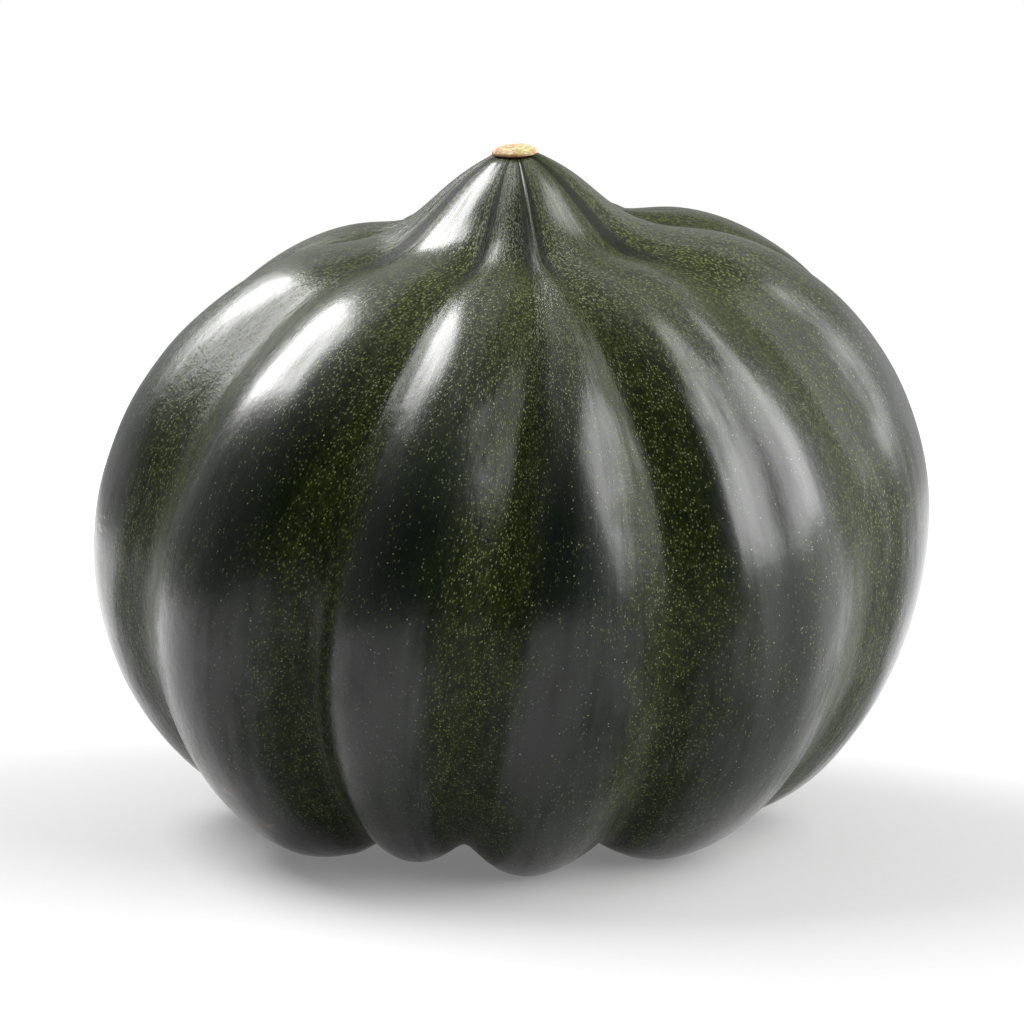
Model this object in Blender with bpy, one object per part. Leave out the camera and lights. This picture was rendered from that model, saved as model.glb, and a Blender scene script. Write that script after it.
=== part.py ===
"""Winter squash of the acorn type, standing on its ribs with its pointed tip up.

Two pieces: the ribbed fruit, and the small round corky scar that caps its tip.
Metres, +Z up. The origin is on the surface the fruit rests on, under the middle of the fruit.
The front faces -Y. A bearing is in degrees around the upright axis: 0 is the front, 90 is +X.
A climb runs up a rib, from the hollow underneath through its foot, waist and collar to the tip.
"""

import math

import bmesh
import bpy
from mathutils import Vector
from mathutils.geometry import interpolate_bezier

# Climbs of the places along a rib
HOLLOW = 0.0
FOOT = 1.0
WAIST = 2.0
COLLAR = 3.0
TIP = 4.0

# The line along the crest of a rib
HOLLOW_HEIGHT = 0.014       # roof of the hollow underneath
FOOT_RADIUS = 0.0358        # circle on which the ribs touch the surface
FOOT_SINK = 0.0008          # how much of a foot is pressed flat
WAIST_RADIUS = 0.0715
WAIST_HEIGHT = 0.0510
COLLAR_RADIUS = 0.0300      # where the shoulders turn up into the neck
COLLAR_HEIGHT = 0.1000
COLLAR_FALL = math.radians(4)
TIP_RADIUS = 0.0041         # the seat of the scar
TIP_HEIGHT = 0.1136
TIP_FALL = math.atan(0.53)
# How far the line runs straight on from the two ends of each stretch, as shares of the stretch's size
CREST_RUNS = ((0.45, 0.34), (0.42, 0.56), (0.43, 0.66), (0.62, 0.54))

# The corky scar
SCAR_MARGIN = 0.0002        # rind left bare around the scar
SCAR_HEIGHT = 0.0016
SCAR_DOME_POWER = 0.8       # 1 is a half ellipse, less is fuller
SCAR_WAVE = 0.05            # how far from round its edge is, as a share of its radius
SCAR_WAVE_COUNTS = (2, 5)
SEAT_GAP = 0.0003

# Depth of the grooves between ribs, at climbs up the rib
GROOVE_DEPTHS = (
    (HOLLOW, 0.0),
    (FOOT, 0.0050),
    (WAIST, 0.0074),
    (2.65, 0.0084),
    (3.05, 0.0028),
    (3.5, 0.0004),
    (TIP, 0.0002),
)
RIB_POWER = 2.0             # 1 gives flat flanks, more gives rounder ribs

# Each groove: its bearings at foot, waist and collar, its shares of the depth at waist, shoulder and
# collar, and how softly its bottom is rounded above the foot
GROOVES = (
    (-180, -180, -180, 0.70, 0.70, 0.70, 0.25),
    (-143, -143, -143, 0.65, 0.70, 0.75, 0.25),
    (-120, -100, -111, 0.60, 0.65, 0.70, 0.25),
    (-86, -64, -61, 0.80, 0.70, 0.65, 0.22),
    (-33, -28.5, -17, 1.00, 0.75, 0.60, 0.20),
    (-12, -2.5, 6, 0.74, 0.95, 0.55, 0.12),
    (21, 23, 15, 1.05, 0.95, 0.65, 0.15),
    (66, 61, 54, 0.75, 0.80, 0.75, 0.22),
    (112, 95, 107, 1.00, 0.85, 0.65, 0.25),
    (142, 142, 142, 0.65, 0.70, 0.75, 0.25),
)
SHARE_CLIMBS = (1.1, 1.95, 2.4, 2.8)     # where a groove has the full depth and its three shares
FOOT_SOFTNESS = 0.12

# The rib on the right of each groove: how full it is at foot and waist, where 1 reaches the crest
# line, and how far across it its crest is
RIBS = (
    (1.00, 0.90, 0.50),
    (1.00, 0.78, 0.50),
    (1.00, 0.75, 0.38),
    (1.15, 0.92, 0.58),
    (0.70, 0.64, 0.40),
    (1.00, 0.46, 0.44),
    (0.88, 0.72, 0.44),
    (0.70, 0.77, 0.63),
    (0.95, 0.86, 0.58),
    (1.00, 0.91, 0.50),
)
FULL_HEIGHT = 0.040         # where a rib has its waist fullness
WANDER_CLIMBS = (0.9, 3.2)  # a groove keeps its bearing below and above these

# A shallow furrow along the middle of one broad rib
FURROW_RIB = 6
FURROW_ACROSS = 0.42
FURROW_HALF_WIDTH = 0.20
FURROW_DEPTH = 0.0013
FURROW_CLIMBS = (1.3, 2.2, 3.3)

# The fruit grew leaning: its right side and its back stand a little higher, its tip nods to the front
LEAN_RIGHT = 0.050
LEAN_BACK = 0.080
LEAN_HEIGHT = 0.055
TIP_RIGHT = 0.0004
TIP_FRONT = 0.0040
NOD_HEIGHT = 0.095

# Mesh
RIB_COLUMNS = 10
STRETCH_RINGS = (8, 12, 12, 8)
SCAR_COLUMNS = 32
SCAR_RINGS = 12

RIND_COLOUR = (0.012, 0.021, 0.012, 1.0)
RIND_ROUGHNESS = 0.32
CORK_COLOUR = (0.60, 0.44, 0.26, 1.0)
CORK_ROUGHNESS = 0.85


def clear_scene():
    for obj in list(bpy.data.objects):
        bpy.data.objects.remove(obj, do_unlink=True)


def ease(share):
    """0 to 1 with flat ends."""
    share = min(max(share, 0.0), 1.0)
    return share * share * (3.0 - 2.0 * share)


def mix(low, high, share):
    return low + (high - low) * share


def crest_stretches():
    """The crest line as four Bezier stretches: hollow to foot, to waist, to collar, to tip."""
    out = Vector((1.0, 0.0))
    up = Vector((0.0, 1.0))
    collar_fall = Vector((math.cos(COLLAR_FALL), -math.sin(COLLAR_FALL)))
    tip_fall = Vector((math.cos(TIP_FALL), -math.sin(TIP_FALL)))
    hollow = HOLLOW_HEIGHT * up
    foot = FOOT_RADIUS * out - FOOT_SINK * up
    waist = WAIST_RADIUS * out + WAIST_HEIGHT * up
    collar = COLLAR_RADIUS * out + COLLAR_HEIGHT * up
    tip = TIP_RADIUS * out + TIP_HEIGHT * up
    belly = WAIST_RADIUS - FOOT_RADIUS
    upper = COLLAR_HEIGHT - WAIST_HEIGHT
    shoulder = WAIST_RADIUS - COLLAR_RADIUS
    neck = COLLAR_RADIUS - TIP_RADIUS
    under_runs, belly_runs, shoulder_runs, neck_runs = CREST_RUNS
    from_hollow = hollow + under_runs[0] * FOOT_RADIUS * out
    to_foot = foot - under_runs[1] * FOOT_RADIUS * out
    from_foot = foot + belly_runs[0] * belly * out
    to_waist = waist - belly_runs[1] * WAIST_HEIGHT * up
    from_waist = waist + shoulder_runs[0] * upper * up
    to_collar = collar + shoulder_runs[1] * shoulder * collar_fall
    from_collar = collar - neck_runs[0] * neck * collar_fall
    to_tip = tip + neck_runs[1] * neck * tip_fall
    return (
        (hollow, from_hollow, to_foot, foot),
        (foot, from_foot, to_waist, waist),
        (waist, from_waist, to_collar, collar),
        (collar, from_collar, to_tip, tip),
    )


def crest_line():
    """Points (climb, place, inward direction) from the hollow to the tip, and then the tip's middle."""
    climbs = []
    places = []
    for start, (stretch, rings) in enumerate(zip(crest_stretches(), STRETCH_RINGS)):
        points = interpolate_bezier(*stretch, rings + 1)
        for step, point in enumerate(points[:-1]):
            climbs.append(start + step / rings)
            places.append(Vector(point))
    climbs.append(TIP)
    places.append(Vector((TIP_RADIUS, TIP_HEIGHT)))
    line = []
    for index, place in enumerate(places):
        before = places[max(index - 1, 0)]
        after = places[min(index + 1, len(places) - 1)]
        along = (after - before).normalized()
        line.append((climbs[index], place, Vector((-along.y, along.x))))
    line.append((TIP, Vector((0.0, TIP_HEIGHT)), Vector((0.0, 0.0))))
    return line


def groove_bearing(groove, climb):
    """A groove wanders: a smooth curve through its bearings at foot, waist and collar."""
    foot, waist, collar = groove[:3]
    lowest, highest = WANDER_CLIMBS
    rise = min(max(climb, lowest), highest) - WAIST
    return waist + (collar - foot) / 2.0 * rise + ((collar + foot) / 2.0 - waist) * rise * rise


def along_rib(steps, climb):
    """A value that eases from step to step up the rib."""
    for (low, low_value), (high, high_value) in zip(steps, steps[1:]):
        if climb <= high:
            return mix(low_value, high_value, ease((climb - low) / (high - low)))
    return steps[-1][1]


def nearer_groove(rib_number, across):
    return GROOVES[rib_number if across < RIBS[rib_number][2] else (rib_number + 1) % len(RIBS)]


def valley_share(rib_number, across, climb):
    """1 at the bottom of a groove and 0 on the crest of a rib."""
    crest_place = RIBS[rib_number][2]
    from_groove = min(across / crest_place, (1.0 - across) / (1.0 - crest_place))
    belly_share = ease((climb - FOOT) / (WAIST - FOOT))
    softness = mix(FOOT_SOFTNESS, nearer_groove(rib_number, across)[6], belly_share)
    rise = (math.hypot(from_groove, softness) - softness) / (math.hypot(1.0, softness) - softness)
    return max(1.0 - rise, 0.0) ** RIB_POWER


def groove_share(rib_number, across, climb):
    """How deep the nearer groove is, as a share of the depth at this climb."""
    shares = nearer_groove(rib_number, across)[3:6]
    steps = ((SHARE_CLIMBS[0], 1.0),) + tuple(zip(SHARE_CLIMBS[1:], shares))
    return along_rib(steps, max(climb, SHARE_CLIMBS[0]))


def furrow_depth(rib_number, across, climb):
    if rib_number != FURROW_RIB:
        return 0.0
    start, deepest, end = FURROW_CLIMBS
    along = ease((climb - start) / (deepest - start)) * ease((end - climb) / (end - deepest))
    sideways = ease(1.0 - abs(across - FURROW_ACROSS) / FURROW_HALF_WIDTH)
    return FURROW_DEPTH * along * sideways


def rib_point(climb, place, inward, column):
    """The place on the upright fruit for one column of one ring."""
    rib_number, step = divmod(column, RIB_COLUMNS)
    across = step / RIB_COLUMNS
    rib = RIBS[rib_number]
    left = groove_bearing(GROOVES[rib_number], climb)
    if rib_number + 1 < len(RIBS):
        right = groove_bearing(GROOVES[rib_number + 1], climb)
    else:
        right = groove_bearing(GROOVES[0], climb) + 360.0
    bearing = math.radians(mix(left, right, across))
    fullness = mix(rib[0], rib[1], ease(place.y / FULL_HEIGHT))
    share = groove_share(rib_number, across, climb)
    valley = valley_share(rib_number, across, climb)
    dip = along_rib(GROOVE_DEPTHS, climb) * mix(1.0 - fullness, share, valley)
    dip += furrow_depth(rib_number, across, climb)
    radius, height = place + dip * inward
    return Vector((radius * math.sin(bearing), -radius * math.cos(bearing), height))


def lean(point):
    """Bend the upright fruit to the way it grew, and press its feet flat on the surface."""
    nod = max(point.z / NOD_HEIGHT, 0.0) ** 3
    x = point.x + TIP_RIGHT * nod
    y = point.y - TIP_FRONT * nod
    tilt = ease(point.z / LEAN_HEIGHT)
    z = point.z + (LEAN_RIGHT * x + LEAN_BACK * y) * tilt
    return Vector((x, y, max(z, 0.0)))


def sphere_steps(vert, columns, rings):
    """Which column and ring of a round ball a vertex is on, counted from +X and from the bottom."""
    column = round(math.atan2(vert.co.y, vert.co.x) / math.tau * columns) % columns
    ring = round(math.acos(min(max(-vert.co.z, -1.0), 1.0)) / math.pi * rings)
    return column, ring


def fruit_mesh():
    """A ball whose rings are slid to the crest line and whose columns follow the ribs."""
    line = crest_line()
    columns = RIB_COLUMNS * len(RIBS)
    rings = len(line) - 1
    bm = bmesh.new()
    bmesh.ops.create_uvsphere(bm, u_segments=columns, v_segments=rings, radius=1.0)
    for vert in bm.verts:
        column, ring = sphere_steps(vert, columns, rings)
        vert.co = lean(rib_point(*line[ring], column))
    return bm


def scar_mesh():
    """A low dome with a wavy edge, flat underneath, lying on the seat of the tip."""
    bm = bmesh.new()
    bmesh.ops.create_uvsphere(bm, u_segments=SCAR_COLUMNS, v_segments=SCAR_RINGS, radius=1.0)
    for vert in bm.verts:
        turn = math.atan2(vert.co.y, vert.co.x)
        wave = sum(math.cos(count * (turn + 0.5)) for count in SCAR_WAVE_COUNTS) / len(SCAR_WAVE_COUNTS)
        reach = (TIP_RADIUS - SCAR_MARGIN) * (1.0 - SCAR_WAVE * (1.0 - wave) / 2.0)
        dome = max(vert.co.z, 0.0) ** SCAR_DOME_POWER
        height = TIP_HEIGHT + SEAT_GAP + SCAR_HEIGHT * dome
        vert.co = lean(Vector((vert.co.x * reach, vert.co.y * reach, height)))
    return bm


def surface_material(name, colour, roughness):
    material = bpy.data.materials.new(name)
    material.use_nodes = True
    shader = material.node_tree.nodes["Principled BSDF"]
    shader.inputs["Base Color"].default_value = colour
    shader.inputs["Roughness"].default_value = roughness
    shader.inputs["Metallic"].default_value = 0.0
    return material


def rind():
    return surface_material("rind", RIND_COLOUR, RIND_ROUGHNESS)


def cork():
    return surface_material("cork", CORK_COLOUR, CORK_ROUGHNESS)


def add_piece(name, bm, material, collection):
    mesh = bpy.data.meshes.new(name)
    bm.to_mesh(mesh)
    bm.free()
    mesh.materials.append(material)
    mesh.shade_smooth()
    piece = bpy.data.objects.new(name, mesh)
    collection.objects.link(piece)
    return piece


def middle(bm):
    """The point on the surface under the middle of the shape's box."""
    xs = [vert.co.x for vert in bm.verts]
    ys = [vert.co.y for vert in bm.verts]
    return Vector(((min(xs) + max(xs)) / 2.0, (min(ys) + max(ys)) / 2.0, 0.0))


def build():
    clear_scene()
    collection = bpy.data.collections.new("winter_squash")
    bpy.context.scene.collection.children.link(collection)
    fruit = fruit_mesh()
    scar = scar_mesh()
    shift = -middle(fruit)
    for bm in (fruit, scar):
        bmesh.ops.translate(bm, verts=bm.verts, vec=shift)
    add_piece("fruit", fruit, rind(), collection)
    add_piece("corky_scar", scar, cork(), collection)


build()
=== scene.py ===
import math

import bpy
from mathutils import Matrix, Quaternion, Vector, noise
from mathutils.geometry import interpolate_bezier


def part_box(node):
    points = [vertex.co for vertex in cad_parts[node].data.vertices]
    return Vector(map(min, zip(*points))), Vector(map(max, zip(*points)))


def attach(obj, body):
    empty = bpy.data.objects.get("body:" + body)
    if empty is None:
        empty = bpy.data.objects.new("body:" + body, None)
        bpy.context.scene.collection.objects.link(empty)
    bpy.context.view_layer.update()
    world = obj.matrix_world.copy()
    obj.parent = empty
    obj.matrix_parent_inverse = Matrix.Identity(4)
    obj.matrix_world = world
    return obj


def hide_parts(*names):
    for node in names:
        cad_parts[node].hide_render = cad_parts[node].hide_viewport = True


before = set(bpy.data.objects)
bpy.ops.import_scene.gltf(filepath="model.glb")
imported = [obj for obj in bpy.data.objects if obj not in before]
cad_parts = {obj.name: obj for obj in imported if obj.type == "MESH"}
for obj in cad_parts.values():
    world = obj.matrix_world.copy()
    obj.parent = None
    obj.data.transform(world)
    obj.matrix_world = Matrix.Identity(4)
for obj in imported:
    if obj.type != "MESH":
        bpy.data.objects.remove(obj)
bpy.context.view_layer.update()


# --- The fruit ---------------------------------------------------------------------------------
# A whole winter squash: firm flesh in a hard, thin, waxy rind, grown in one piece. Ten uneven ribs
# run up from the hollow underneath, swell over the shoulders and draw together into a short neck.
# It stands on the flattened undersides of its ribs, so nothing holds it.

# Climbs of the places along a rib. The collar, where it turns up into the neck, is at 3
HOLLOW = 0.0
FOOT = 1.0
WAIST = 2.0
TIP = 4.0

# The line along the crest of a rib
HOLLOW_HEIGHT = 0.014       # roof of the hollow underneath
FOOT_RADIUS = 0.0358        # circle on which the ribs touch the surface
FOOT_SINK = 0.0008          # how much of a foot is pressed flat
WAIST_RADIUS = 0.0715
WAIST_HEIGHT = 0.0510
COLLAR_RADIUS = 0.0300      # where the shoulders turn up into the neck
COLLAR_HEIGHT = 0.1000
COLLAR_FALL = math.radians(4)
TIP_RADIUS = 0.0041         # the seat of the scar
TIP_HEIGHT = 0.1136
TIP_FALL = math.atan(0.53)
# How far the line runs straight on from the two ends of each stretch, as shares of the stretch's size
CREST_RUNS = ((0.45, 0.34), (0.42, 0.56), (0.43, 0.66), (0.62, 0.54))

# Depth of the grooves between ribs at climbs up the rib
GROOVE_DEPTHS = (
    (HOLLOW, 0.0),
    (FOOT, 0.0050),
    (WAIST, 0.0074),
    (2.65, 0.0084),
    (3.05, 0.0028),
    (3.5, 0.0004),
    (TIP, 0.0002),
)
RIB_POWER = 2.0             # 1 gives flat flanks, more gives rounder ribs

# Each groove: its bearings at foot, waist and collar, its shares of the depth at waist, shoulder and
# collar, and how softly its bottom is rounded above the foot
GROOVES = (
    (-180, -180, -180, 0.70, 0.70, 0.70, 0.25),
    (-143, -143, -143, 0.65, 0.70, 0.75, 0.25),
    (-120, -100, -111, 0.60, 0.65, 0.70, 0.25),
    (-86, -64, -61, 0.80, 0.70, 0.65, 0.22),
    (-33, -28.5, -17, 1.00, 0.75, 0.60, 0.20),
    (-12, -2.5, 6, 0.74, 0.95, 0.55, 0.12),
    (21, 23, 15, 1.05, 0.95, 0.65, 0.15),
    (66, 61, 54, 0.75, 0.80, 0.75, 0.22),
    (112, 95, 107, 1.00, 0.85, 0.65, 0.25),
    (142, 142, 142, 0.65, 0.70, 0.75, 0.25),
)
SHARE_CLIMBS = (1.1, 1.95, 2.4, 2.8)     # where a groove has the full depth and its three shares
FOOT_SOFTNESS = 0.12
NECK_SOFTNESS = 0.45
NECK_CLIMBS = (2.95, 3.35)  # between these a groove takes on the neck's softness

# The rib on the right of each groove: how full it is at foot and waist, where 1 reaches the crest
# line, and how far across it its crest is
RIBS = (
    (1.00, 0.90, 0.50),
    (1.00, 0.78, 0.50),
    (1.00, 0.75, 0.38),
    (1.15, 0.92, 0.58),
    (0.70, 0.64, 0.40),
    (1.00, 0.46, 0.44),
    (0.88, 0.72, 0.44),
    (0.70, 0.77, 0.63),
    (0.95, 0.86, 0.58),
    (1.00, 0.91, 0.50),
)
FULL_HEIGHT = 0.040         # where a rib has its waist fullness
WANDER_CLIMBS = (0.9, 3.2)  # a groove keeps its bearing below and above these

# Furrows along ribs: rib, place across it, half width, depth, climbs where it starts, is deepest, ends
FURROWS = (
    (6, 0.40, 0.17, 0.0018, 1.3, 2.3, 3.2),
)

# The fruit grew leaning: its right side and its back stand a little higher, its tip nods to the front
LEAN_RIGHT = 0.050
LEAN_BACK = 0.080
LEAN_HEIGHT = 0.055
TIP_RIGHT = 0.0004
TIP_FRONT = 0.0040
NOD_HEIGHT = 0.095

RIB_COLUMNS = 28
STRETCH_RINGS = (28, 46, 46, 34)
UNEVEN_SIZE = 0.011         # length of the slow unevenness of the rind
UNEVEN_DEPTH = 0.00012


def ease(share):
    """0 to 1 with flat ends."""
    share = min(max(share, 0.0), 1.0)
    return share * share * (3.0 - 2.0 * share)


def mix(low, high, share):
    return low + (high - low) * share


def crest_line():
    """(climb, path length, place, inward direction) of the rings up the crest of a rib."""
    out = Vector((1.0, 0.0))
    up = Vector((0.0, 1.0))
    collar_fall = Vector((math.cos(COLLAR_FALL), -math.sin(COLLAR_FALL)))
    tip_fall = Vector((math.cos(TIP_FALL), -math.sin(TIP_FALL)))
    hollow = HOLLOW_HEIGHT * up
    foot = FOOT_RADIUS * out - FOOT_SINK * up
    waist = WAIST_RADIUS * out + WAIST_HEIGHT * up
    collar = COLLAR_RADIUS * out + COLLAR_HEIGHT * up
    tip = TIP_RADIUS * out + TIP_HEIGHT * up
    belly = WAIST_RADIUS - FOOT_RADIUS
    upper = COLLAR_HEIGHT - WAIST_HEIGHT
    shoulder = WAIST_RADIUS - COLLAR_RADIUS
    neck = COLLAR_RADIUS - TIP_RADIUS
    under_runs, belly_runs, shoulder_runs, neck_runs = CREST_RUNS
    from_hollow = hollow + under_runs[0] * FOOT_RADIUS * out
    to_foot = foot - under_runs[1] * FOOT_RADIUS * out
    from_foot = foot + belly_runs[0] * belly * out
    to_waist = waist - belly_runs[1] * WAIST_HEIGHT * up
    from_waist = waist + shoulder_runs[0] * upper * up
    to_collar = collar + shoulder_runs[1] * shoulder * collar_fall
    from_collar = collar - neck_runs[0] * neck * collar_fall
    to_tip = tip + neck_runs[1] * neck * tip_fall
    stretches = (
        (hollow, from_hollow, to_foot, foot),
        (foot, from_foot, to_waist, waist),
        (waist, from_waist, to_collar, collar),
        (collar, from_collar, to_tip, tip),
    )
    rings = []
    for start, (stretch, count) in enumerate(zip(stretches, STRETCH_RINGS)):
        for step, point in enumerate(interpolate_bezier(*stretch, count + 1)[:-1]):
            rings.append((start + step / count, Vector(point)))
    rings.append((TIP, tip))
    line = []
    length = 0.0
    for index, (climb, place) in enumerate(rings):
        before = rings[max(index - 1, 0)][1]
        after = rings[min(index + 1, len(rings) - 1)][1]
        length += (place - before).length
        along = (after - before).normalized()
        line.append((climb, length, place, Vector((-along.y, along.x))))
    line.append((TIP, length + TIP_RADIUS, Vector((0.0, TIP_HEIGHT)), Vector((0.0, 0.0))))
    return line


def groove_bearing(groove, climb):
    """A groove wanders: a smooth curve through its bearings at foot, waist and collar."""
    foot, waist, collar = groove[:3]
    lowest, highest = WANDER_CLIMBS
    rise = min(max(climb, lowest), highest) - WAIST
    return waist + (collar - foot) / 2.0 * rise + ((collar + foot) / 2.0 - waist) * rise * rise


def along_rib(steps, climb):
    """A value that eases from step to step up the rib."""
    for (low, low_value), (high, high_value) in zip(steps, steps[1:]):
        if climb <= high:
            return mix(low_value, high_value, ease((climb - low) / (high - low)))
    return steps[-1][1]


def nearer_groove(rib_number, across):
    return GROOVES[rib_number if across < RIBS[rib_number][2] else (rib_number + 1) % len(RIBS)]


def valley_share(rib_number, across, climb):
    """1 at the bottom of a groove and 0 on the crest of a rib."""
    crest_place = RIBS[rib_number][2]
    from_groove = min(across / crest_place, (1.0 - across) / (1.0 - crest_place))
    belly_share = ease((climb - FOOT) / (WAIST - FOOT))
    neck_share = ease((climb - NECK_CLIMBS[0]) / (NECK_CLIMBS[1] - NECK_CLIMBS[0]))
    softness = mix(FOOT_SOFTNESS, nearer_groove(rib_number, across)[6], belly_share)
    softness = mix(softness, NECK_SOFTNESS, neck_share)
    rise = (math.hypot(from_groove, softness) - softness) / (math.hypot(1.0, softness) - softness)
    return max(1.0 - rise, 0.0) ** RIB_POWER


def groove_share(rib_number, across, climb):
    """How deep the nearer groove is, as a share of the depth at this climb."""
    shares = nearer_groove(rib_number, across)[3:6]
    steps = ((SHARE_CLIMBS[0], 1.0),) + tuple(zip(SHARE_CLIMBS[1:], shares))
    return along_rib(steps, max(climb, SHARE_CLIMBS[0]))


def furrow_depth(rib_number, across, climb):
    dip = 0.0
    for rib, place, half_width, depth, start, deepest, end in FURROWS:
        if rib == rib_number:
            along = ease((climb - start) / (deepest - start)) * ease((end - climb) / (end - deepest))
            dip += depth * along * ease(1.0 - abs(across - place) / half_width)
    return dip


def rib_bearing(rib_number, across, climb):
    left = groove_bearing(GROOVES[rib_number], climb)
    if rib_number + 1 < len(RIBS):
        right = groove_bearing(GROOVES[rib_number + 1], climb)
    else:
        right = groove_bearing(GROOVES[0], climb) + 360.0
    return math.radians(mix(left, right, across))


def lean(point):
    """Bend the upright shape to the way it grew, and press its feet flat."""
    nod = max(point.z / NOD_HEIGHT, 0.0) ** 3
    x = point.x + TIP_RIGHT * nod
    y = point.y - TIP_FRONT * nod
    tilt = ease(point.z / LEAN_HEIGHT)
    z = point.z + (LEAN_RIGHT * x + LEAN_BACK * y) * tilt
    return Vector((x, y, max(z, 0.0)))


def grown_place(rib_number, across, ring):
    """Where the rind is, and the same spot on the upright cylinder that its flecks are laid out on."""
    climb, length, place, inward = ring
    rib = RIBS[rib_number]
    bearing = rib_bearing(rib_number, across, climb)
    fullness = mix(rib[0], rib[1], ease(place.y / FULL_HEIGHT))
    share = groove_share(rib_number, across, climb)
    valley = valley_share(rib_number, across, climb)
    dip = along_rib(GROOVE_DEPTHS, climb) * mix(1.0 - fullness, share, valley)
    dip += furrow_depth(rib_number, across, climb)
    turn = rib_bearing(rib_number, across, WAIST)
    laid = Vector((WAIST_RADIUS * math.sin(turn), -WAIST_RADIUS * math.cos(turn), length))
    dip += UNEVEN_DEPTH * noise.noise(laid / UNEVEN_SIZE)
    radius, height = place + dip * inward
    return lean(Vector((radius * math.sin(bearing), -radius * math.cos(bearing), height))), laid


bpy.ops.object.select_all(action="DESELECT")
crest = crest_line()
columns = RIB_COLUMNS * len(RIBS)
rings = len(crest) - 1
bpy.ops.mesh.primitive_uv_sphere_add(segments=columns, ring_count=rings, radius=1.0)
squash = bpy.context.object
squash.name = "ribbed_rind"
squash.data.attributes.new("laid_out", "FLOAT_VECTOR", "POINT")
squash.data.attributes.new("in_groove", "FLOAT", "POINT")
laid_out = squash.data.attributes["laid_out"]
in_groove = squash.data.attributes["in_groove"]
for vert in squash.data.vertices:
    column = round(math.atan2(vert.co.y, vert.co.x) / math.tau * columns) % columns
    ring = round(math.acos(min(max(-vert.co.z, -1.0), 1.0)) / math.pi * rings)
    rib_number, step = divmod(column, RIB_COLUMNS)
    across = step / RIB_COLUMNS
    place, laid = grown_place(rib_number, across, crest[ring])
    vert.co = place
    laid_out.data[vert.index].vector = laid
    in_groove.data[vert.index].value = valley_share(rib_number, across, crest[ring][0])
# The fruit leans, so its box is off the middle: slide it to the middle of the solid's box
lowest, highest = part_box("fruit")
xs = [vert.co.x for vert in squash.data.vertices]
ys = [vert.co.y for vert in squash.data.vertices]
shift_right = (lowest.x + highest.x - min(xs) - max(xs)) / 2.0
shift_back = (lowest.y + highest.y - min(ys) - max(ys)) / 2.0
shift = Vector((shift_right, shift_back, 0.0))
for vert in squash.data.vertices:
    vert.co += shift
squash.data.shade_smooth()


class Tone:
    """A number, colour or place on its way through a finish's nodes. Sums on numbers add Math nodes."""

    def __init__(self, finish, socket):
        self.finish = finish
        self.socket = socket

    def sum(self, operation, *values):
        inputs = dict(enumerate(values))
        return self.finish.node("ShaderNodeMath", {"operation": operation}, inputs)

    def __add__(self, other):
        return self.sum("ADD", self, other)

    def __radd__(self, other):
        return self.sum("ADD", other, self)

    def __sub__(self, other):
        return self.sum("SUBTRACT", self, other)

    def __rsub__(self, other):
        return self.sum("SUBTRACT", other, self)

    def __mul__(self, other):
        return self.sum("MULTIPLY", self, other)

    def __rmul__(self, other):
        return self.sum("MULTIPLY", other, self)

    def __pow__(self, other):
        return self.sum("POWER", self, other)

    def most(self, other):
        return self.sum("MAXIMUM", self, other)

    def twin(self, output):
        """Another output of the node that this one comes from."""
        return Tone(self.finish, self.socket.node.outputs[output])

    def between(self, low, high):
        """0 below low, 1 above high, easing from one to the other; low may be the larger."""
        inputs = {"Value": self, "From Min": low, "From Max": high, "To Min": 0.0, "To Max": 1.0}
        return self.finish.node("ShaderNodeMapRange", {"interpolation_type": "SMOOTHSTEP"}, inputs)


class Finish:
    """The look of one material or world: its shader and the nodes that feed it."""

    def __init__(self, owner, shader):
        owner.use_nodes = True
        self.owner = owner
        self.tree = owner.node_tree
        self.shader = self.tree.nodes[shader]

    def feed(self, socket, value):
        """Link a tone to a socket, or set a plain value on it."""
        if isinstance(value, Tone):
            self.tree.links.new(value.socket, socket)
        else:
            socket.default_value = value

    def node(self, kind, settings=None, inputs=None, output=0):
        """A node with its settings made first and then its sockets fed. Gives one of its outputs."""
        made = self.tree.nodes.new(kind)
        for name, value in (settings or {}).items():
            setattr(made, name, value)
        for name, value in (inputs or {}).items():
            self.feed(made.inputs[name], value)
        return Tone(self, made.outputs[output])

    def blend(self, share, low, high):
        """One colour into another."""
        inputs = {0: share, 6: low, 7: high}
        return self.node("ShaderNodeMix", {"data_type": "RGBA"}, inputs, output=2)

    def stretched(self, coordinates, scale):
        """Coordinates scaled along each axis."""
        settings = {"operation": "MULTIPLY"}
        return self.node("ShaderNodeVectorMath", settings, {0: coordinates, 1: scale})

    def cloud(self, coordinates, size, detail=2.0):
        """Soft noise about 0.5, with lumps of the given size."""
        inputs = {"Vector": coordinates, "Scale": 1.0 / size, "Detail": detail}
        return self.node("ShaderNodeTexNoise", None, inputs)

    def cells(self, coordinates, size):
        """Scattered cells: the distance from each one's middle, and two random numbers for each."""
        inputs = {"Vector": coordinates, "Scale": 1.0 / size}
        distance = self.node("ShaderNodeTexVoronoi", {"feature": "F1"}, inputs)
        chance = self.node("ShaderNodeSeparateColor", None, {0: distance.twin("Color")})
        return distance, chance, chance.twin(1)

    def near(self, coordinates, spot, radius):
        """1 at a spot, easing to 0 at the radius."""
        settings = {"operation": "DISTANCE"}
        away = self.node("ShaderNodeVectorMath", settings, {0: coordinates, 1: spot}, output=1)
        return away.between(radius, 0.25 * radius)

    def near_any(self, coordinates, spots):
        """1 at each spot of (spot, radius), easing to 0 at its radius."""
        share = self.near(coordinates, *spots[0])
        for spot, radius in spots[1:]:
            share = share.most(self.near(coordinates, spot, radius))
        return share

    def set(self, **values):
        """Feed the shader's own sockets."""
        for name, value in values.items():
            self.feed(self.shader.inputs[name.replace("_", " ")], value)


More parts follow.
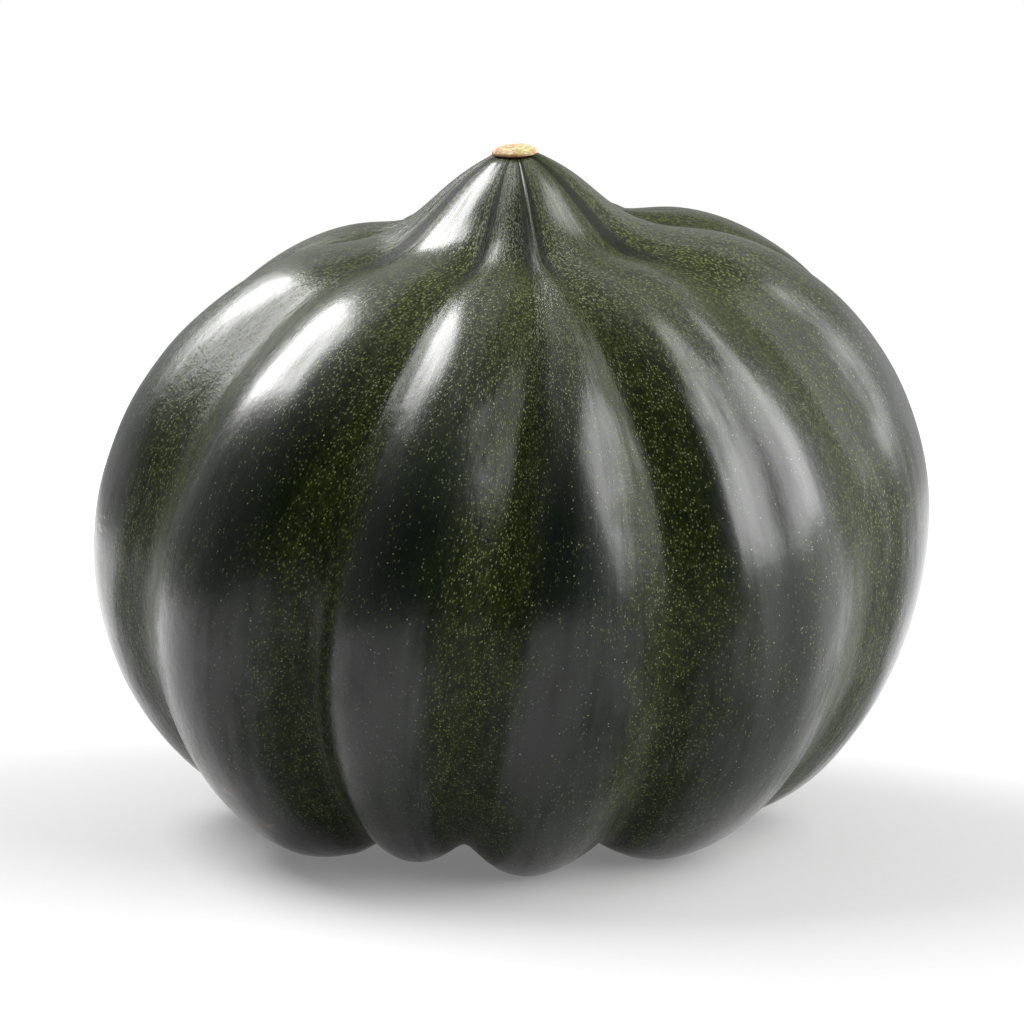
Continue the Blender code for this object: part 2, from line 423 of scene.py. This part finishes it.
def new_finish(name):
    return Finish(bpy.data.materials.new(name), "Principled BSDF")


BARE_GREEN = (0.0010, 0.0024, 0.0012, 1.0)
FADED_GREEN = (0.0026, 0.0056, 0.0026, 1.0)
OLIVE_GREEN = (0.0125, 0.0165, 0.0028, 1.0)
SHADE_GREEN = (0.0012, 0.0020, 0.0008, 1.0)
RIB_STREAK = (0.052, 0.070, 0.026, 1.0)
OLIVE_STREAK = (0.098, 0.112, 0.030, 1.0)
DULL_DOT = (0.06, 0.072, 0.022, 1.0)
BRIGHT_DOT = (0.20, 0.22, 0.10, 1.0)
HEALED_HAZE = (0.10, 0.095, 0.055, 1.0)
HEALED_TAN = (0.16, 0.105, 0.050, 1.0)
SCRATCHED_WAX = (0.12, 0.13, 0.10, 1.0)

# How far up the laid-out rind its zones begin and are full
CROWN_HEIGHTS = (0.122, 0.165)      # turns olive
DRAWN_HEIGHTS = (0.150, 0.174)      # is drawn in, with its flecks gathered together
NECK_HEIGHTS = (0.172, 0.186)       # has creases darkened with painted shade

STREAK_SIZE = 0.00036
GATHERED_STREAK_SIZE = 0.00018
DOT_SIZE = 0.00070

# The hollow between two ribs on the front of the neck, darkened with painted shade
THROAT = Vector((0.0010, -0.0715, 0.1915))
THROAT_SQUEEZE = Vector((0.6, 0.6, 1.0))        # makes it wider than it is tall
THROAT_RADIUS = 0.0135

# Healed marks, as spots on the laid-out rind
TAN_SCAR = (-0.0500, -0.0511, 0.0691)
TAN_RING_RADIUS = 0.0046
TAN_HEART_RADIUS = 0.0018
NICK = Vector((-0.0465, -0.0543, 0.0602))
NICK_RADIUS = 0.0019
NICK_CUT = Vector((0.0, 0.0, 0.0007))           # a round cut out of it from above leaves a curve
NICK_CUT_RADIUS = 0.0021
WRINKLES = (                # spot and radius
    ((0.0459, -0.0548, 0.1499), 0.0065),
    ((-0.0704, -0.0123, 0.1139), 0.0050),
    ((-0.0698, -0.0155, 0.0940), 0.0050),
    ((0.0682, -0.0215, 0.0922), 0.0050),
)
SCRATCHES = (               # spot and radius
    ((0.0221, -0.0680, 0.1301), 0.0060),
    ((0.0594, -0.0397, 0.1392), 0.0090),
)


def rind_finish():
    """Near-black green ribs under a wax bloom, olive grooves and crown, and pale flecks."""
    rind = new_finish("waxy_rind")
    place = rind.node("ShaderNodeAttribute", {"attribute_name": "laid_out"}, output=1)
    groove = rind.node("ShaderNodeAttribute", {"attribute_name": "in_groove"}, output=2)
    height = rind.node("ShaderNodeSeparateXYZ", None, {0: place}, output=2)
    crown = height.between(*CROWN_HEIGHTS)
    drawn = height.between(*DRAWN_HEIGHTS)
    neck = height.between(*NECK_HEIGHTS)
    gathered = rind.stretched(place, (0.30, 0.30, 1.0))
    patches = rind.cloud(place, 0.022, detail=3.0)
    blotches = rind.cloud(rind.stretched(place, (1.0, 1.0, 0.45)), 0.006, detail=3.0)
    mottle = rind.cloud(rind.stretched(place, (1.0, 1.0, 0.6)), 0.0016, detail=3.0)
    fine = rind.cloud(rind.stretched(place, (1.0, 1.0, 0.6)), 0.0006, detail=2.0)

    # Where the rind is olive and crowded with flecks: on the crown, and in bands along the grooves
    band = (groove + 0.9 * (patches - 0.5) + 0.6 * (blotches - 0.5)).between(0.02, 0.72)
    olive = (0.80 * crown).most(0.85 * band)

    # Short streaks, packed tight where the rind is olive, and gathered together up the neck
    crowding = 0.12 + 0.50 * olive + 0.10 * crown + 0.6 * (blotches - 0.5) + 0.9 * (mottle - 0.5)
    low_streak, low_chance, low_light = rind.cells(rind.stretched(place, (1.0, 1.0, 0.60)), STREAK_SIZE)
    low_streaks = low_streak.between(0.55, 0.15) * (crowding - low_chance).between(0.0, 0.15)
    lifted = rind.stretched(gathered, (1.0, 1.0, 0.30))
    high_streak, high_chance, high_light = rind.cells(lifted, GATHERED_STREAK_SIZE)
    high_streaks = high_streak.between(0.60, 0.15) * (crowding + 0.25 - high_chance).between(0.0, 0.15)
    low_share = (1.0 - drawn) * low_streaks * (0.25 + 0.75 * low_light)
    high_share = drawn * high_streaks * (0.25 + 0.75 * high_light)
    streaks = low_share + high_share

    # Round pinpoint dots, here and there over the whole rind
    dot, dot_chance, dot_light = rind.cells(place, DOT_SIZE)
    dot_share = 0.30 + 0.15 * olive + 0.6 * (patches - 0.5) + 0.4 * (mottle - 0.5)
    dots = dot.between(0.26, 0.08) * (dot_share - dot_chance).between(0.0, 0.10) * (1.0 - drawn)

    # The rind's own colour, with the flecks on it, and painted shade darkening the throat and the neck's
    # creases
    deep = rind.blend(patches.between(0.35, 0.65), BARE_GREEN, FADED_GREEN)
    mottling = 0.15 + 0.55 * mottle.between(0.3, 0.7) + 0.55 * fine.between(0.35, 0.65)
    worn = olive * mottling + 0.15 * fine.between(0.45, 0.75)
    green = rind.blend(worn, deep, OLIVE_GREEN)
    streak_colour = rind.blend(olive, RIB_STREAK, OLIVE_STREAK)
    with_streaks = rind.blend(streaks, green, streak_colour)
    dot_colour = rind.blend(dot_light, DULL_DOT, BRIGHT_DOT)
    with_dots = rind.blend(dots * (0.35 + 0.65 * dot_light), with_streaks, dot_colour)
    throat = rind.near(rind.stretched(place, THROAT_SQUEEZE), THROAT * THROAT_SQUEEZE, THROAT_RADIUS)
    crease = groove.between(0.82, 0.97) * neck
    # Painted shade: the throat and the bottoms of the neck's creases are blended towards a near-black
    # green
    shaded = rind.blend(0.85 * crease.most(throat), with_dots, SHADE_GREEN)

    # Healed marks: a tan scar in a pale ring, a curved nick, and wrinkled and scratched patches
    scuff = rind.cloud(place, 0.0012, detail=3.0)
    scar_ring = rind.near(place, TAN_SCAR, TAN_RING_RADIUS) * scuff.between(0.30, 0.60)
    scar_heart = rind.near(place, TAN_SCAR, TAN_HEART_RADIUS) * scuff.between(0.30, 0.55)
    cut = rind.near(place, NICK + NICK_CUT, NICK_CUT_RADIUS)
    nick = rind.near(place, NICK, NICK_RADIUS) * (1.0 - cut)
    hazed = rind.blend(0.30 * scar_ring, shaded, HEALED_HAZE)
    healed = rind.blend(0.75 * scar_heart.most(nick), hazed, HEALED_TAN)
    wrinkles = rind.near_any(place, WRINKLES)
    scratch_lines = rind.cloud(rind.stretched(place, (0.10, 0.10, 1.0)), 0.00035, detail=1.0)
    scratches = rind.near_any(place, SCRATCHES) * scratch_lines.between(0.60, 0.68)
    colour = rind.blend(0.25 * scratches, healed, SCRATCHED_WAX)

    # The wax bloom lies on the ribs in streaks and is worn thin in the grooves
    brushed = rind.cloud(rind.stretched(place, (1.0, 1.0, 0.12)), 0.0020, detail=3.0)
    smears = rind.cloud(rind.stretched(place, (1.0, 1.0, 0.5)), 0.013, detail=4.0)
    bloom = 0.90 - 0.80 * band - 0.25 * crown - 1.0 * throat - 1.0 * crease
    bloom = bloom + 0.6 * (blotches - 0.5) + 0.7 * (brushed - 0.5) + 1.3 * (smears - 0.5) + 0.2 * drawn
    grain = rind.cloud(rind.stretched(place, (1.0, 1.0, 0.30)), 0.0005, detail=3.0)
    neck_grain = rind.cloud(rind.stretched(gathered, (1.0, 1.0, 0.35)), 0.0005, detail=3.0)
    pebbles = rind.cloud(place, 0.0016, detail=2.0)
    dents = rind.cloud(rind.stretched(place, (1.0, 1.0, 0.6)), 0.0045, detail=2.0)
    folds = rind.cloud(rind.stretched(place, (0.5, 0.5, 1.0)), 0.0014, detail=1.0)
    roughness = 0.25 + 0.10 * (patches - 0.5) + 0.16 * (grain - 0.5)
    roughness = roughness + 0.05 * band - 0.06 * throat + 0.25 * crease
    relief = (1.0 - drawn) * grain + 2.2 * drawn * neck_grain + 1.6 * pebbles + 4.0 * dents
    relief = relief + 1.2 * streaks + 5.0 * wrinkles * folds
    relief = relief - 0.8 * scratches + 1.5 * scar_heart - 1.0 * nick
    bump = rind.node("ShaderNodeBump", None, {"Strength": 0.50, "Distance": 0.00009, "Height": relief})
    rind.set(Base_Color=colour, Roughness=roughness, Normal=bump, IOR=1.22)
    rind.set(Coat_Weight=bloom.between(0.0, 1.0), Coat_Roughness=0.25, Coat_IOR=1.45)
    return rind.owner


squash.data.materials.append(rind_finish())
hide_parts("fruit")
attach(squash, "root")


# --- The corky scar ----------------------------------------------------------------------------
# The dead, dry cap where the flower sat: a thin dome of tan cork with a torn edge, a few millimetres
# wide. It grew onto the fruit and dried there, and it lies in the flat seat of the tip.

SCAR_MARGIN = 0.0002        # rind left bare around the scar
SCAR_HEIGHT = 0.0016
SCAR_DOME_POWER = 0.8       # 1 is a half ellipse, less is fuller
SCAR_WAVE = 0.05            # how far from round its edge is, as a share of its radius
SCAR_WAVE_COUNTS = (2, 5)
SCAR_WAVE_TURN = 0.5
SEAT_GAP = 0.0003           # between the scar and its seat
LUMP_SIZE = 0.0011          # lumps and hollows of the dried cork
LUMP_DEPTH = 0.30           # as a share of the dome's height
TEAR_DEPTH = 0.05           # how far its edge is torn in, as a share of the radius
TEAR_FINENESS = 4.0         # more makes more and smaller tears
TEAR_DRAW = 3.0             # another value draws another torn edge
SCAR_COLUMNS = 96
SCAR_RINGS = 48

bpy.ops.mesh.primitive_uv_sphere_add(segments=SCAR_COLUMNS, ring_count=SCAR_RINGS, radius=1.0)
scar = bpy.context.object
scar.name = "corky_cap"
for vert in scar.data.vertices:
    turn = math.atan2(vert.co.y, vert.co.x)
    waves = [math.cos(count * (turn + SCAR_WAVE_TURN)) for count in SCAR_WAVE_COUNTS]
    wave = sum(waves) / len(waves)
    around = Vector((TEAR_FINENESS * math.cos(turn), TEAR_FINENESS * math.sin(turn), TEAR_DRAW))
    tear = (1.0 + noise.noise(around)) / 2.0
    reach = (TIP_RADIUS - SCAR_MARGIN) * (1.0 - SCAR_WAVE * (1.0 - wave) / 2.0 - TEAR_DEPTH * tear)
    x = vert.co.x * reach
    y = vert.co.y * reach
    lump = (1.0 + noise.noise(Vector((x, y, 0.0)) / LUMP_SIZE)) / 2.0
    dome = max(vert.co.z, 0.0) ** SCAR_DOME_POWER * (1.0 - LUMP_DEPTH * lump)
    vert.co = lean(Vector((x, y, TIP_HEIGHT + SEAT_GAP + SCAR_HEIGHT * dome))) + shift
scar.data.shade_smooth()

scar_lowest, scar_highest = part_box("corky_scar")
scar_middle = (scar_lowest + scar_highest) / 2.0
PITH_PLACE = Vector((0.0012, -0.0022, 0.0))     # where green pith shows through a tear
PITH_RADIUS = 0.0026
CRACKS_PER_METRE = 900.0
RIM_DEPTHS = (0.0003, 0.0008)                   # below the scar's middle the cork is coloured darker brown, towards its bottom edge
BROWNER_TAN = (0.29, 0.155, 0.070, 1.0)
PALER_TAN = (0.41, 0.295, 0.170, 1.0)
GREEN_PITH = (0.23, 0.26, 0.060, 1.0)
PALE_SCALE = (0.50, 0.45, 0.30, 1.0)
CRACK_BROWN = (0.070, 0.042, 0.014, 1.0)
RIM_BROWN = (0.19, 0.085, 0.028, 1.0)


def cork_finish():
    """Tan cork with paler scales, fine cracks, a green tear, and darker brown towards its bottom edge."""
    cork = new_finish("dry_cork")
    place = cork.node("ShaderNodeTexCoord", None, None, output=3)
    patches = cork.cloud(place, 0.0016, detail=3.0)
    grain = cork.cloud(place, 0.0003, detail=3.0)
    edges = {"feature": "DISTANCE_TO_EDGE"}
    crack = cork.node("ShaderNodeTexVoronoi", edges, {"Vector": place, "Scale": CRACKS_PER_METRE})
    tan = cork.blend(patches.between(0.42, 0.58), BROWNER_TAN, PALER_TAN)
    torn = cork.near(place, scar_middle + PITH_PLACE, PITH_RADIUS) * grain.between(0.35, 0.60)
    with_pith = cork.blend(0.9 * torn, tan, GREEN_PITH)
    pale = cork.cloud(place, 0.0007, detail=2.0).between(0.52, 0.66)
    with_pale = cork.blend(0.7 * pale, with_pith, PALE_SCALE)
    cracks = crack.between(0.06, 0.0) * patches.between(0.45, 0.60)
    with_cracks = cork.blend(0.8 * cracks, with_pale, CRACK_BROWN)
    height = cork.node("ShaderNodeSeparateXYZ", None, {0: place}, output=2)
    rim = height.between(scar_middle.z - RIM_DEPTHS[0], scar_middle.z - RIM_DEPTHS[1])
    colour = cork.blend(0.8 * rim, with_cracks, RIM_BROWN)
    relief = grain + 2.0 * patches - 1.5 * cracks
    bump = cork.node("ShaderNodeBump", None, {"Strength": 0.7, "Distance": 0.00012, "Height": relief})
    cork.set(Base_Color=colour, Roughness=0.8 + 0.15 * (grain - 0.5), Normal=bump)
    return cork.owner


scar.data.materials.append(cork_finish())
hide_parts("corky_scar")
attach(scar, "root")


# --- The floor, the light and the camera -------------------------------------------------------
# A pale sheet of studio paper under the fruit, a narrow soft light high on its left, a broad dimmer
# one on its right, a white room around them, and a long lens a little above the fruit.

FLOOR_RADIUS = 0.60
FLOOR_DROP = 0.00005        # keeps the paper from lying in the same plane as the feet
FADE_RADII = (0.62, 0.18)   # the paper fades out into the white room
GLOW_DEPTHS = (-0.05, 0.40) # from front to back, where the paper's painted glow comes up
FRONT_GLOW = (0.18, 0.18, 0.18, 1.0)
BACK_GLOW = (0.75, 0.75, 0.75, 1.0)
GREY_GRAIN = (0.30, 0.30, 0.30, 1.0)
PALE_GRAIN = (0.32, 0.32, 0.32, 1.0)
bpy.ops.object.select_all(action="DESELECT")
bpy.ops.mesh.primitive_circle_add(vertices=96, radius=FLOOR_RADIUS, fill_type="NGON")
floor = bpy.context.object
floor.name = "paper_floor"
floor.location.z = -FLOOR_DROP


def paper_finish():
    """Pale paper with a faint grain and a painted glow of its own, most at the back. It fades out at its
    edge.
    """
    paper = new_finish("pale_paper")
    place = paper.node("ShaderNodeTexCoord", None, None, output=3)
    grain = paper.cloud(place, 0.002)
    pale = paper.blend(grain, GREY_GRAIN, PALE_GRAIN)
    depth = paper.node("ShaderNodeSeparateXYZ", None, {0: place}, output=1)
    glow = paper.blend(depth.between(*GLOW_DEPTHS), FRONT_GLOW, BACK_GLOW)
    # Painted light: the paper glows by its own emission, dim in front and bright at the back, which lifts
    # it and the shadows on it
    paper.set(Base_Color=pale, Roughness=0.9, Emission_Color=glow, Emission_Strength=1.0)
    reach = paper.node("ShaderNodeVectorMath", {"operation": "LENGTH"}, {0: place}, output=1)
    paper.set(Alpha=reach.between(*FADE_RADII))
    return paper.owner


floor.data.materials.append(paper_finish())

AIM = Vector((0.00026, 0.0, 0.05235))           # what the lights and the lens point at
SOFTBOX_DISTANCE = 1.0


def add_softbox(name, azimuth, elevation, roll, width, height, power):
    """A rectangular light that faces the fruit. Azimuth 0 is the front, 90 the right."""
    turn = math.radians(azimuth)
    rise = math.radians(elevation)
    away = Vector((math.sin(turn) * math.cos(rise), -math.cos(turn) * math.cos(rise), math.sin(rise)))
    light = bpy.data.lights.new(name, "AREA")
    light.shape = "RECTANGLE"
    light.size = width
    light.size_y = height
    light.energy = power
    lamp = bpy.data.objects.new(name, light)
    bpy.context.scene.collection.objects.link(lamp)
    lamp.location = AIM + SOFTBOX_DISTANCE * away
    facing = away.to_track_quat("Z", "Y") @ Quaternion((0.0, 0.0, 1.0), math.radians(roll))
    lamp.rotation_euler = facing.to_euler()
    lamp.visible_camera = False


add_softbox("left_softbox", -122, 48, -44, 0.52, 0.96, 22.0)
add_softbox("right_softbox", 78, 32, 7, 1.32, 1.18, 30.0)

# The room: dark in front of the fruit, paler to the sides, the back and above. Seen straight, it is white
room = bpy.data.worlds.new("studio_room")
bpy.context.scene.world = room
walls = Finish(room, "Background")
direction = walls.node("ShaderNodeTexCoord", None, None, output=0)
rightward = walls.node("ShaderNodeSeparateXYZ", None, {0: direction}, output=0)
backward = rightward.twin(1)
upward = rightward.twin(2)
glimmer = 0.02 + 1.4 * rightward.most(0.0) ** 2.0 + 0.2 * (0.0 - rightward).most(0.0) ** 2.0
glimmer = glimmer + 0.30 * backward.most(0.0) + 1.0 * upward.most(0.0) ** 4.0
seen = walls.node("ShaderNodeLightPath", None, None, output=0)
walls.set(Color=(1.0, 1.0, 1.0, 1.0), Strength=seen + (1.0 - seen) * glimmer)

CAMERA_DISTANCE = 0.9
CAMERA_RISE = math.radians(10.27)
LENS = 189.3                # focal length in millimetres
camera_data = bpy.data.cameras.new("long_lens")
camera_data.lens = LENS
camera_data.clip_start = 0.05
camera = bpy.data.objects.new("long_lens", camera_data)
bpy.context.scene.collection.objects.link(camera)
to_camera = Vector((0.0, -math.cos(CAMERA_RISE), math.sin(CAMERA_RISE)))
camera.location = AIM + CAMERA_DISTANCE * to_camera
camera.rotation_euler = to_camera.to_track_quat("Z", "Y").to_euler()
bpy.context.scene.camera = camera
bpy.context.scene.view_settings.view_transform = "Standard"
